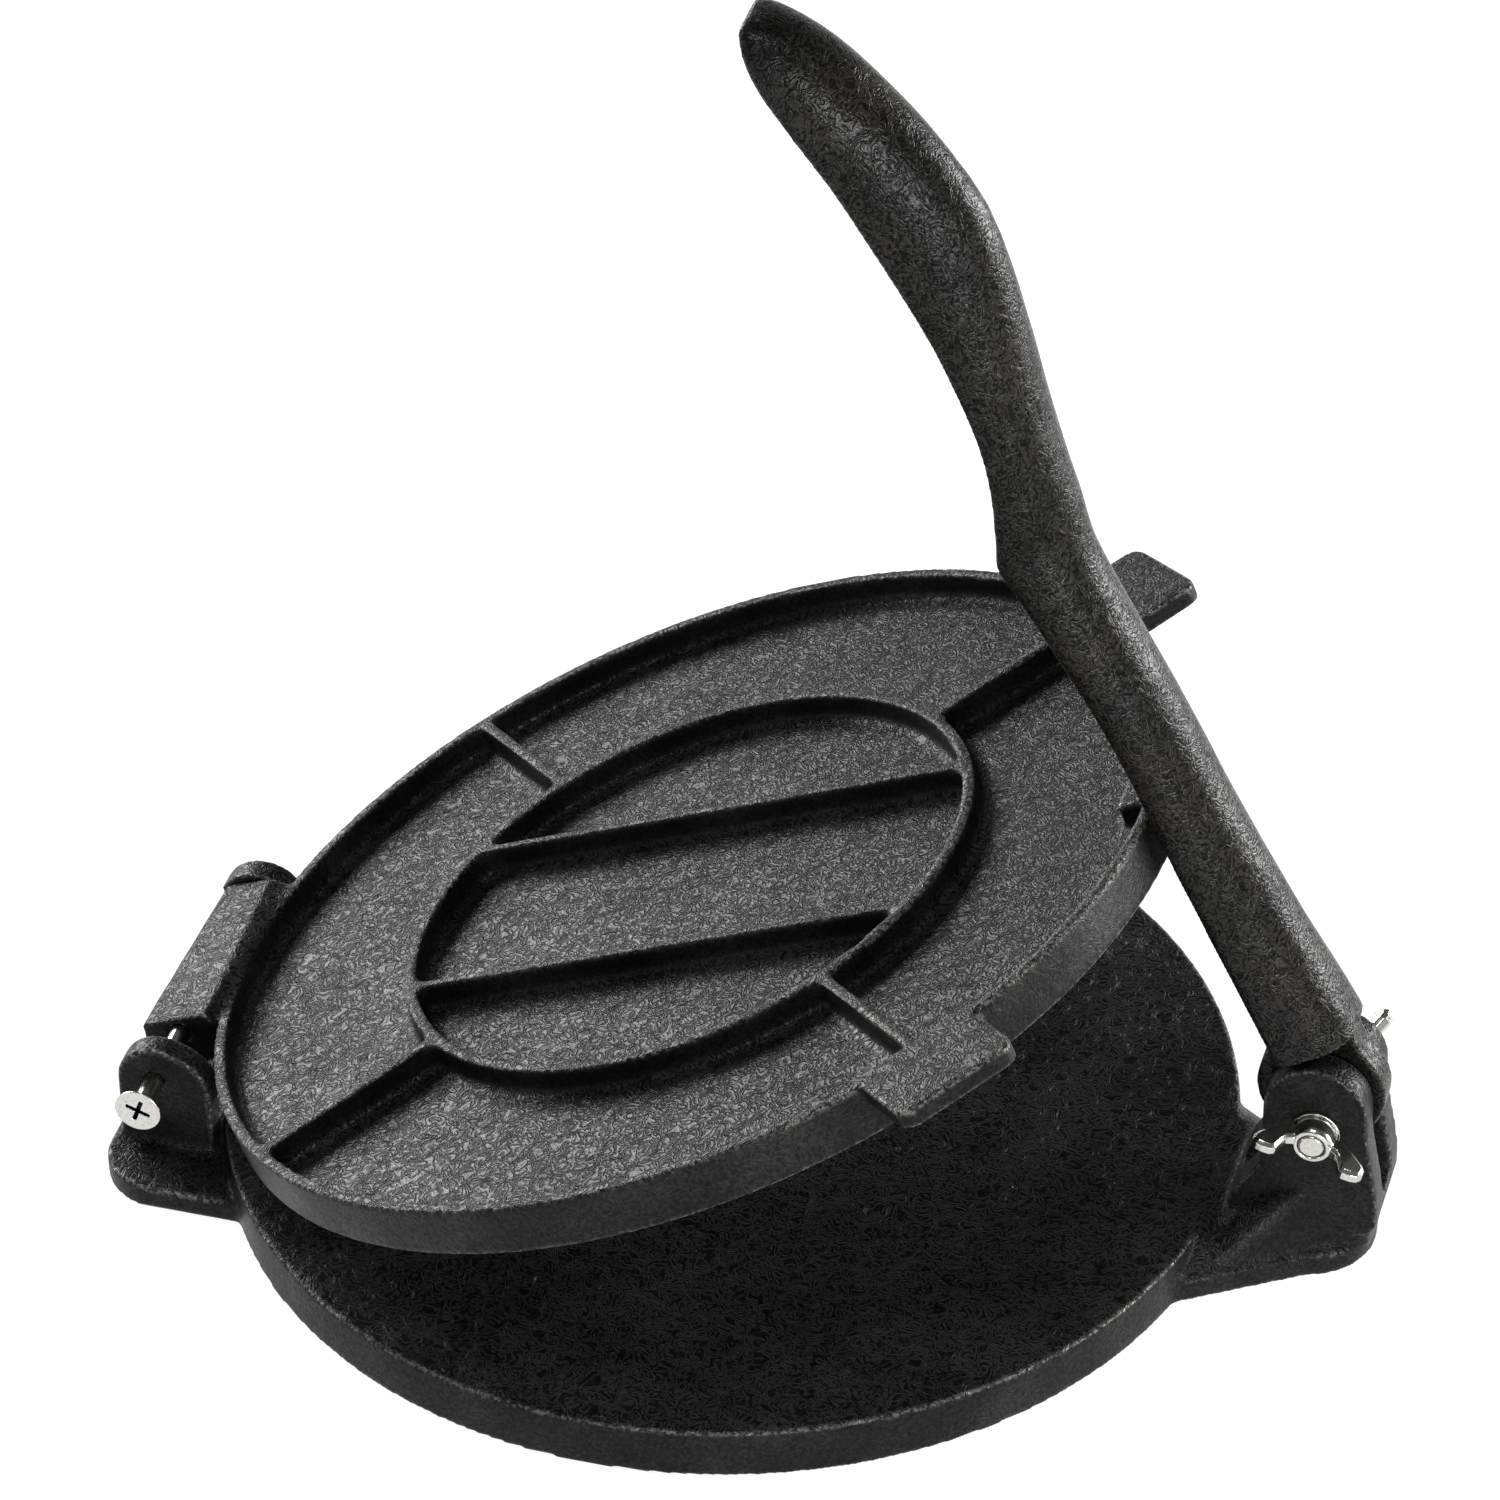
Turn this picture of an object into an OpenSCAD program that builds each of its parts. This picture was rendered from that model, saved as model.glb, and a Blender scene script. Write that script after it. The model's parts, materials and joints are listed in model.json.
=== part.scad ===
// Cast-iron tortilla press: two round plates on a hinge and a D-section lever in a clevis.
// X runs from the hinge to the lever, Y along both pivots, Z up. The table is z = 0. Sizes are in mm.

/* [Plates] */

// Radius of both plates
plate_r = 130; // [115:1:145]
// Thickness of each plate, rim included
plate_t = 14; // [12:0.5:18]
// Depth of the pockets between the ribs
pocket_d = 7; // [4:0.5:9]
// Width of the rim
rim_w = 3.4; // [3:0.1:6]
// Width of the ribs
rib_w = 3; // [2.5:0.1:5]
// Inner radius of the centre ring
ring_r = 74; // [60:1:90]
// Angle the top plate stands open
open_angle = 22.5; // [0:0.5:60]

/* [Lift tabs] */

// Width of a lift tab
tab_w = 33; // [20:1:45]
// Distance of a tab's outer edge beyond the plate's edge
tab_out = 19.7; // [12:0.1:26]
// Thickness of a tab
tab_t = 5; // [4:0.5:7]

/* [Hinge] */

// Distance of the hinge axis beyond the plate's edge
hinge_out = 8.1; // [7.5:0.1:12]
// Radius of the lugs
lug_r = 11; // [9:0.5:11.5]
// Radius of the hinge barrel at its near end
barrel_r = 10.4; // [8.5:0.1:11]
// Where the hinge's middle lies along Y
hinge_mid = -7.7; // [-20:0.1:0]
// Space between the two lugs
lug_space = 72.2; // [40:0.1:80]
// Play of the barrel at its near end
barrel_play = 12.8; // [0.3:0.1:14]
// Thickness of a lug
lug_t = 7; // [5:0.5:10]
// Radius of the hinge screw
screw_r = 2.5; // [2:0.1:4]
// How far the screw's head stands off the near lug
screw_proud = 12; // [6:0.5:20]

/* [Clevis] */

// Distance of the lever's pivot beyond the plate's edge
pivot_out = 24.5; // [22:0.5:34]
// Height of the lever's pivot
pivot_z = 44.5; // [40:0.5:60]
// Width over both ears, also the lever's width
clevis_w = 27; // [24:0.5:34]
// Width of the slot
slot_w = 9.4; // [7:0.1:12]
// Radius of the wing screw
bolt_r = 3; // [2.5:0.1:4]

/* [Lever] */

// Length of the lever from the pivot to the tip
lever_l = 325; // [280:1:360]
// How far the lever leans towards the hinge
lever_lean = 26; // [24:0.5:27]
// Thickness of the tongue
tongue_w = 8.8; // [6:0.1:11]

/* [Fits] */

// Gap between faces that slide past each other
side_gap = 0.3; // [0.2:0.05:0.5]
// Gap between faces that are clamped together
face_gap = 0.08; // [0.05:0.01:0.15]
// Radial gap of a pin in its bore
bore_gap = 0.06; // [0.03:0.01:0.1]

/* [Hidden] */

$fn = 96;
iron = [0.2, 0.19, 0.18];
zinc = [0.75, 0.75, 0.76];
eps = 0.01;

hinge_x = -plate_r - hinge_out;
hinge_z = 2 * plate_t - 1.5;
lug_y0 = hinge_mid - lug_space / 2 - lug_t;
lug_y1 = hinge_mid + lug_space / 2 + lug_t;
barrel_y0 = lug_y0 + lug_t + barrel_play;
barrel_y1 = lug_y1 - lug_t - side_gap;
barrel_r1 = barrel_r - 2.4;
barrel_flat = screw_r + 2;
foot_t = 6.5;
foot_half_y = 56.7;
foot_mid = -12.2;
foot_x = -plate_r - 20.6;
pivot_x = plate_r + pivot_out;
ear_half = clevis_w / 2;
ear_r = 13.2;
neck_nose_r = 18;
washer_r = 6.1;
washer_t = 1.1;
hub_r = 5.3;
hub_l = 5.6;
wing_reach = 14.35;

// A cylinder along Y from y0 to y1
module rod_y(x, z, r, y0, y1) {
    translate([x, y0, z])
        rotate([-90, 0, 0])
            cylinder(r = r, h = y1 - y0);
}

// A profile drawn in X and Z, from y0 to y1
module slab_y(y0, y1) {
    translate([0, y1, 0])
        rotate([90, 0, 0])
            linear_extrude(y1 - y0)
                children();
}

// ---------------------------------------------------------------- base

module underside_pockets() {
    difference() {
        translate([0, 0, -1])
            cylinder(r = plate_r - rim_w, h = pocket_d + 1);
        translate([0, 0, -2]) {
            difference() {
                cylinder(r = ring_r + rim_w, h = pocket_d + 4);
                translate([0, 0, -1])
                    cylinder(r = ring_r, h = pocket_d + 6);
            }
            cylinder(r = 14, h = pocket_d + 4);
            for (a = [45, 135])
                rotate([0, 0, a])
                    translate([-plate_r, -rib_w / 2, 0])
                        cube([2 * plate_r, rib_w, pocket_d + 4]);
        }
    }
}

module rear_foot() {
    r = 17;
    depth = -foot_x - 100;
    translate([0, foot_mid, 0])
        linear_extrude(foot_t)
            union() {
                translate([foot_x + r, -foot_half_y])
                    square([depth - r, 2 * foot_half_y]);
                translate([foot_x, -foot_half_y + r])
                    square([depth, 2 * (foot_half_y - r)]);
                for (s = [-1, 1])
                    translate([foot_x + r, s * (foot_half_y - r)])
                        circle(r = r);
            }
}

// Near lug in X and Z from the hinge axis down to the foot, its front side sloping to the disc
module near_lug_profile() {
    translate([hinge_x + 0.9, hinge_z - 0.9])
        circle(r = lug_r);
    translate([hinge_x, hinge_z])
        polygon([[0.9 - lug_r, -0.9], [6, 8.9], [9.2, 7.6], [12.4, 5], [14.4, 1.4], [14.8, -1.5],
                 [14.8, 1 - hinge_z], [0.9 - lug_r, 1 - hinge_z]]);
}

// Far lug, low over the screw and kept clear of the plate's rim
module far_lug_profile() {
    translate([hinge_x, hinge_z]) {
        intersection() {
            translate([0.6, -5.2])
                circle(r = lug_r + 0.4);
            translate([-2 * lug_r, -0.5])
                square([4 * lug_r, lug_r]);
        }
        polygon([[1.5 - lug_r, 0], [lug_r - 0.3, 0], [hinge_out + 0.7, -6],
                 [hinge_out + 0.7, plate_t - 0.5 - hinge_z], [lug_r + 1.8, plate_t - 0.5 - hinge_z],
                 [lug_r + 2, 1 - hinge_z], [1.5 - lug_r, 1 - hinge_z]]);
    }
}

// Half width of the flange where it leaves the disc, and of the neck's foot on it
function neck_foot(x) = 7.6 + 0.66 * max(0, pivot_x + 11.5 - x);
function neck_crest(x) =
    x < plate_r + 1.8 ? plate_t : 28.2 - 13.9 * pow(max(0, (pivot_x + 6.5 - x) / 29), 1.75);
function neck_side(x, q) =
    let (out = neck_foot(x) - ear_half)
        ear_half + out * (out > 0 ? pow(1 - pow(q, 1.9), 1 / 1.9) : pow(1 - q, 1.6));
function neck_section(x) = [
    for (s = [-1, 1])
        for (i = [0:9])
            let (q = s < 0 ? sin(10 * i) : sin(90 - 10 * i))
                [x, s * neck_side(x, q), 5 + (neck_crest(x) - 5) * q]
];

// The neck's waist, a skin through sections across it
module neck_waist() {
    xs = [120, 124, 128, 131.7, 132.2, 134, 137, 140, 144, 148, 152, 156, 160, 164, 167, 168.6];
    n = 20;
    last = len(xs) - 1;
    pts = [for (x = xs) each neck_section(x + pivot_x - 154.5)];
    sides = [for (i = [0:last - 1]) for (k = [0:n - 1])
        let (a = i * n + k, b = i * n + (k + 1) % n)
            [a, b, b + n, a + n]];
    polyhedron(points = pts, faces = concat(
        [[for (k = [0:n - 1]) n - 1 - k]],
        sides,
        [[for (k = [0:n - 1]) last * n + k]]), convexity = 4);
}

module neck_flange() {
    linear_extrude(foot_t)
        intersection() {
            translate([100, -60])
                square([120, 120]);
            offset(r = -9)
                offset(delta = 9) {
                    circle(r = plate_r - 0.5);
                    translate([pivot_x - 4, 0])
                        circle(r = neck_nose_r);
                    polygon([[110, -45.8], [157.5, -15.8], [157.5, 15.8], [110, 45.8]]);
                }
        }
}

// Ear and web in X and Z from the pivot: arc on top, front leaning back, web running to the disc
module ear_profile() {
    translate([pivot_x, pivot_z]) {
        translate([-0.7, 5.1])
            circle(r = ear_r);
        polygon([[-13.9, 5.1], [-13.9, -13.5], [-17, -18.5], [-19.6, -22.5], [-21.2, -26.5],
                 [-22.3, -30.3], [-22.3, -32.5], [-4, -32.5], [6, -29.5], [10.5, -32.6],
                 [13, -32.2], [15.3, -30.6], [16.2, -28], [16.1, -23], [15.3, -16.5], [14, -9.5],
                 [12.8, -2.5], [12.5, 5.1]]);
    }
}

module clevis() {
    difference() {
        union() {
            slab_y(-ear_half, ear_half)
                ear_profile();
            neck_waist();
        }
        translate([120, -slot_w / 2, pivot_z - 21.3])
            cube([60, slot_w, 60]);
        translate([120, 0, pivot_z - 21.3])
            rotate([0, 90, 0])
                cylinder(r = slot_w / 2, h = 60);
    }
}

module base() {
    color(iron)
        difference() {
            union() {
                cylinder(r = plate_r, h = plate_t, $fn = 180);
                rear_foot();
                slab_y(lug_y0, lug_y0 + lug_t)
                    near_lug_profile();
                slab_y(lug_y1 - lug_t, lug_y1)
                    far_lug_profile();
                neck_flange();
                clevis();
            }
            underside_pockets();
            rod_y(hinge_x, hinge_z, screw_r + bore_gap, lug_y0 - 1, lug_y1 + 1);
            rod_y(pivot_x, pivot_z, bolt_r + bore_gap, -ear_half - 1, ear_half + 1);
        }
}

// ---------------------------------------------------------------- top plate

module lift_tab() {
    r = 4.5;
    x1 = plate_r + tab_out;
    translate([0, 0, 2 * plate_t - tab_t])
        linear_extrude(tab_t)
            union() {
                translate([plate_r - 6, -tab_w / 2])
                    square([tab_out + 6 - r, tab_w]);
                translate([plate_r, -tab_w / 2 + r])
                    square([tab_out, tab_w - 2 * r]);
                for (s = [-1, 1])
                    translate([x1 - r, s * (tab_w / 2 - r)])
                        circle(r = r, $fn = 48);
            }
    intersection() {
        translate([plate_r - 6, -tab_w / 2, 2 * plate_t - pocket_d - 1])
            cube([10, tab_w, pocket_d + 1]);
        cylinder(r = plate_r - 1, h = 2 * plate_t);
    }
}

module top_ribs() {
    z = 2 * plate_t - pocket_d - 1;
    h = pocket_d + 1;
    difference() {
        translate([0, 0, z])
            cylinder(r = ring_r + rim_w, h = h);
        translate([0, 0, z - 1])
            cylinder(r = ring_r, h = h + 2);
    }
    for (y = [-29, 28.5])
        translate([-sqrt(ring_r * ring_r - y * y) - 1, y - rib_w / 2, z])
            cube([2 * sqrt(ring_r * ring_r - y * y) + 2, rib_w, h]);
    for (a = [45, 135, 225, 315])
        rotate([0, 0, a])
            translate([ring_r + 1, -rib_w / 2, z])
                cube([plate_r - ring_r - 3, rib_w, h]);
    translate([119.5, -2.5, z])
        cube([plate_r - rim_w - 118.5, 16, h]);
}

// The barrel's end, round below and flat on top
module barrel_profile(r) {
    translate([hinge_x, hinge_z]) {
        intersection() {
            circle(r = r, $fn = 48);
            translate([-r, -r])
                square([2 * r, r + barrel_flat]);
        }
        translate([2.4 - r, barrel_flat - 2])
            circle(r = 2, $fn = 24);
        translate([2, 0])
            square([2, barrel_flat]);
    }
}

// The barrel, drawn down to the plate's rim
module hinge_block() {
    difference() {
        hull() {
            slab_y(barrel_y0, barrel_y0 + 0.5)
                barrel_profile(barrel_r);
            slab_y(barrel_y1 - 0.5, barrel_y1)
                barrel_profile(barrel_r1);
            translate([-plate_r + 2.6, barrel_y0 + 5, plate_t + 1.6])
                cube([0.6, barrel_y1 - barrel_y0 - 5, plate_t - 1.6]);
        }
        translate([0, 0, plate_t])
            cylinder(r = plate_r - rim_w - 0.05, h = 40, $fn = 180);
    }
}

module closed_top_plate() {
    difference() {
        union() {
            difference() {
                translate([0, 0, plate_t + face_gap])
                    cylinder(r = plate_r, h = plate_t - face_gap, $fn = 180);
                translate([0, 0, 2 * plate_t - pocket_d])
                    cylinder(r = plate_r - rim_w, h = pocket_d + 1, $fn = 180);
            }
            top_ribs();
            for (a = [-45, 45])
                rotate([0, 0, a])
                    lift_tab();
            hinge_block();
        }
        rod_y(hinge_x, hinge_z, lug_r + 1, barrel_y1, lug_y1 + side_gap);
        rod_y(hinge_x, hinge_z, screw_r + bore_gap, barrel_y0 - 1, barrel_y1 + 1);
    }
}

module top_plate() {
    color(iron)
        translate([hinge_x, 0, hinge_z])
            rotate([0, -open_angle, 0])
                translate([-hinge_x, 0, -hinge_z])
                    closed_top_plate();
}

// ---------------------------------------------------------------- lever

// Stations along the lever: distance from the pivot, underside, crown, half width
lever_keys = [
    [19.9, -2.5, 18.0, 1], [32, -2.5, 17.7, 1], [46, -2.5, 16.7, 1], [66, -2.5, 15.7, 1],
    [90, -2.3, 14.6, 1], [112, -1.9, 14.3, 1], [130, -2.4, 13.8, 1], [148, -4.0, 13.1, 1],
    [166, -5.8, 12.8, 1],
    [175, -7.0, 14.0, 1], [182, -4.2, 15.3, 1], [195, 0.6, 16.9, 1], [210, 3.9, 19.5, 1],
    [235, 5.0, 24.7, 1], [260, 3.1, 27.7, 1], [283, 0.4, 23.6, 1], [302, -3.5, 16.9, 0.97],
    [314, -5.4, 10.6, 0.88], [322, -5.2, 3.4, 0.7], [325, -4.2, -2.4, 0.5]];
lever_steps = 3;
lever_sides = 20;

function smooth(a, b, c, d, t) =
    0.5 * (2 * b + (c - a) * t + (2 * a - 5 * b + 4 * c - d) * t * t
           + (3 * b - a - 3 * c + d) * t * t * t);
function key(i) = lever_keys[max(0, min(len(lever_keys) - 1, i))];
function station(i, t) = smooth(key(i - 1), key(i), key(i + 1), key(i + 2), t);
function arc_power(v, p) = sign(v) * pow(abs(v), p);
function lever_ring(k) =
    let (s = k[0] < 21 ? k[0] : 19.9 + (k[0] - 19.9) * (lever_l - 19.9) / 305.1,
         half = k[3] * ear_half,
         edge = min(2.2, (k[2] - k[1]) * 0.3),
         p = k[0] < 60 ? 0.72 + 0.28 * (k[0] - 19.9) / 40.1 : 1)
    concat(
        [[k[1], -half + 0.7, s]],
        [for (j = [0:lever_sides])
            let (a = 180 * j / lever_sides)
                [k[1] + edge + (k[2] - k[1] - edge) * arc_power(sin(a), p),
                 -half * arc_power(cos(a), p), s]],
        [[k[1], half - 0.7, s]]);

module lever_bar() {
    count = len(lever_keys) - 1;
    stations = concat(
        [for (i = [0:count - 1]) for (j = [0:lever_steps - 1]) station(i, j / lever_steps)],
        [key(count)]);
    n = lever_sides + 3;
    last = len(stations) - 1;
    pts = [for (k = stations) each lever_ring(k)];
    sides = [for (i = [0:last - 1]) for (k = [0:n - 1])
        let (a = i * n + k, b = i * n + (k + 1) % n)
            [a, a + n, b + n, b]];
    polyhedron(points = pts, faces = concat(
        [[for (k = [0:n - 1]) k]],
        sides,
        [[for (k = [0:n - 1]) last * n + n - 1 - k]]), convexity = 4);
}

module lever() {
    color(iron)
        translate([pivot_x, 0, pivot_z])
            rotate([0, -lever_lean, 0])
                difference() {
                    union() {
                        lever_bar();
                        rod_y(1.3, 5.2, 16.3, -tongue_w / 2, tongue_w / 2);
                        translate([-2, -tongue_w / 2, 5])
                            cube([18, tongue_w, 17]);
                    }
                    rod_y(0, 0, bolt_r + bore_gap, -20, 20);
                }
}

// ---------------------------------------------------------------- hardware

module hinge_screw() {
    head_r = 6.1;
    y0 = lug_y0 - screw_proud;
    color(zinc)
        difference() {
            union() {
                rod_y(hinge_x, hinge_z, screw_r, y0 + 1, lug_y1);
                rod_y(hinge_x, hinge_z, head_r, y0, y0 + 0.5);
                translate([hinge_x, y0 + 0.5, hinge_z])
                    rotate([-90, 0, 0])
                        cylinder(r1 = head_r, r2 = screw_r, h = head_r - screw_r);
            }
            for (a = [20, 110])
                translate([hinge_x, y0, hinge_z])
                    rotate([0, a, 0])
                        translate([-3.3, -1, -0.55])
                            cube([6.6, 3.2, 1.1]);
        }
}

// A pair of wings on a hub whose clamping face is at the origin, the hub growing along -Y
module wings(turn) {
    t = 2.4;
    for (side = [0, 180])
        rotate([0, turn + side, 0])
            translate([0, 0, -t / 2])
                linear_extrude(t)
                    polygon([[hub_r - 1.2, -0.8], [7.2, -1.2], [wing_reach - 0.4, -6.6],
                             [wing_reach, -7.6], [wing_reach - 0.5, -11], [wing_reach - 1.4, -11.5],
                             [wing_reach - 4.2, -11.2], [wing_reach - 5.2, -10.4],
                             [7.3, -5.6], [hub_r - 1.2, -4.9]]);
}

module hub(open_bore) {
    difference() {
        union() {
            rod_y(0, 0, hub_r, -hub_l + 0.9, 0);
            translate([0, -hub_l + 0.9, 0])
                rotate([90, 0, 0])
                    cylinder(r1 = hub_r, r2 = hub_r - 0.9, h = 0.9);
        }
        if (open_bore)
            rod_y(0, 0, bolt_r + bore_gap, -hub_l - 1, 1);
    }
}

module wing_bolt() {
    y0 = -ear_half - washer_t - 2 * face_gap;
    color(zinc)
        translate([pivot_x, y0, pivot_z]) {
            hub(false);
            wings(12);
            rod_y(0, 0, bolt_r, -1, -2 * y0 + hub_l + 1.5);
        }
}

module washer(y0) {
    color(zinc)
        difference() {
            rod_y(pivot_x, pivot_z, washer_r, y0, y0 + washer_t);
            rod_y(pivot_x, pivot_z, bolt_r + bore_gap, y0 - 1, y0 + washer_t + 1);
        }
}

module near_washer() {
    washer(-ear_half - washer_t - face_gap);
}

module far_washer() {
    washer(ear_half + face_gap);
}

module wing_nut() {
    color(zinc)
        translate([pivot_x, ear_half + washer_t + 2 * face_gap, pivot_z])
            mirror([0, 1, 0])
                difference() {
                    union() {
                        hub(false);
                        wings(-53);
                    }
                    rod_y(0, 0, bolt_r + bore_gap, -hub_l - 1, 1);
                }
}

base();
top_plate();
lever();
hinge_screw();
wing_bolt();
near_washer();
far_washer();
wing_nut();
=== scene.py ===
"""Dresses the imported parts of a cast-iron tortilla press and lights them in a plain studio.

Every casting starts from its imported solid, which is drawn again on a fine even grid, rounded
along its edges and filled along its inner corners, the way sand-cast iron comes out of the
mould. The screw, the wing bolt, the wing nut and their washers are drawn finer, in bright zinc.
Lengths in the classes are millimetres and are turned to metres where a mesh is made.
"""

from __future__ import annotations

import json
import logging
import math
from dataclasses import dataclass, field
from enum import Enum

import bmesh
import bpy
import numpy as np
from bmesh.types import BMesh, BMVert
from bpy.types import ID, Material, Mesh, Node, NodeSocket, NodeTree, Object
from mathutils import Matrix, Vector

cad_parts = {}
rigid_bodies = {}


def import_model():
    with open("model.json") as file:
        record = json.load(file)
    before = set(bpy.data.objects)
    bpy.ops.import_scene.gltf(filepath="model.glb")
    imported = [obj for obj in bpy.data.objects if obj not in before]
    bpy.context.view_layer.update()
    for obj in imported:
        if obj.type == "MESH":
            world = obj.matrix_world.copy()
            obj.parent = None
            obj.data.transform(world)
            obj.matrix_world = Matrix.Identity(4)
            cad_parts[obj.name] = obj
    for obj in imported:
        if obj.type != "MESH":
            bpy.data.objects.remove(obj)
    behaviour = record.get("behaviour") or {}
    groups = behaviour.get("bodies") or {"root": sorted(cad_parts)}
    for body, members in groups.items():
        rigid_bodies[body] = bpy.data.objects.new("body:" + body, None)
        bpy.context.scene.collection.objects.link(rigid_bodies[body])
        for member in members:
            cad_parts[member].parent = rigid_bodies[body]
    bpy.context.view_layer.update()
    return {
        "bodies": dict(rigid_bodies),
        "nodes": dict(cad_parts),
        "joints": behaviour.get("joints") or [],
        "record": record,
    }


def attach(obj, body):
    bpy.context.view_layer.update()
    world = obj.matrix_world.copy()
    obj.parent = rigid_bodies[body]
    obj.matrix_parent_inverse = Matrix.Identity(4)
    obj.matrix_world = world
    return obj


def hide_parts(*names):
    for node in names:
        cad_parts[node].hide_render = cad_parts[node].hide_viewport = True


LOG = logging.getLogger("tortilla_press")
MM = 0.001  # a millimetre, in metres
TINY = 1e-6  # a length that counts as nothing
FRAME_PIXELS = 1500.0  # width of the full frame
SENSOR = 36.0  # width of the camera's sensor, mm
GRAIN_SPACING = 2.2  # size of the noise that draws a grain, in grain widths
TONE_RANGE = (0.45, 1.1)  # the speckled tone where the skin is darkest and palest
WHITE = "#ffffff"


class Slot(Enum):
    """The record's material slots."""

    CAST_IRON = "cast_iron"
    PLATED_STEEL = "plated_steel"


# ------------------------------------------------------------------ small helpers


def linear(colour: str) -> tuple[float, float, float, float]:
    """Turns an sRGB hex colour to the linear values that a shader socket takes.

    Args:
        colour: a hash and six hex digits.

    Returns:
        Red, green, blue and alpha, each from 0 to 1.
    """
    out = []
    for k in (1, 3, 5):
        v = int(colour[k : k + 2], 16) / 255.0
        out.append(v / 12.92 if v <= 0.04045 else ((v + 0.055) / 1.055) ** 2.4)
    return out[0], out[1], out[2], 1.0


def add_node(
    tree: NodeTree,
    kind: str,
    settings: dict[str, object] | None = None,
    sockets: dict[str | int, object] | None = None,
) -> Node:
    """Adds one node, sets its settings, and fills or links its input sockets.

    Args:
        tree: the node tree that gets the node.
        kind: the node's type name.
        settings: values of the node's own properties.
        sockets: input sockets by name or number, each a value or another node's output.

    Returns:
        The new node.
    """
    node = tree.nodes.new(kind)
    for name, value in (settings or {}).items():
        setattr(node, name, value)
    for key, value in (sockets or {}).items():
        if isinstance(value, NodeSocket):
            tree.links.new(value, node.inputs[key])
        else:
            node.inputs[key].default_value = value
    return node


def set_stops(node: Node, stops: list[tuple[float, str]]) -> None:
    """Sets a colour ramp's stops.

    Args:
        node: the ramp.
        stops: the place and the sRGB hex colour of each stop, from left to right.
    """
    ramp = node.color_ramp
    while len(ramp.elements) < len(stops):
        ramp.elements.new(0.5)
    for element, (place, colour) in zip(ramp.elements, stops):
        element.position = place
        element.color = linear(colour)


def blank_material(name: str) -> tuple[Material, NodeTree]:
    """Makes a node material with no nodes in it.

    Args:
        name: the material's name.

    Returns:
        The material and its node tree.
    """
    made = bpy.data.materials.new(name)
    made.use_nodes = True
    made.node_tree.nodes.clear()
    return made, made.node_tree


def add_object(name: str, data: ID) -> Object:
    """Adds an object to the scene.

    Args:
        name: the object's name.
        data: its mesh, lamp or camera.

    Returns:
        The new object.
    """
    made = bpy.data.objects.new(name, data)
    bpy.context.scene.collection.objects.link(made)
    return made


def points_of(mesh: Mesh) -> np.ndarray:
    """Gives a mesh's vertices, one to a row.

    Args:
        mesh: the mesh.

    Returns:
        Their X, Y and Z.
    """
    place = np.empty(len(mesh.vertices) * 3)
    mesh.vertices.foreach_get("co", place)
    return place.reshape(-1, 3)


def mark_points(mesh: Mesh, name: str, values: np.ndarray) -> None:
    """Stores one number at each vertex, for a material to read.

    Args:
        mesh: the mesh that gets the numbers.
        name: the attribute's name.
        values: the numbers, one to a vertex.
    """
    mark = mesh.attributes.new(name, "FLOAT", "POINT")
    mark.data.foreach_set("value", values.astype(np.float32))


# ------------------------------------------------------------------ finishes


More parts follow.
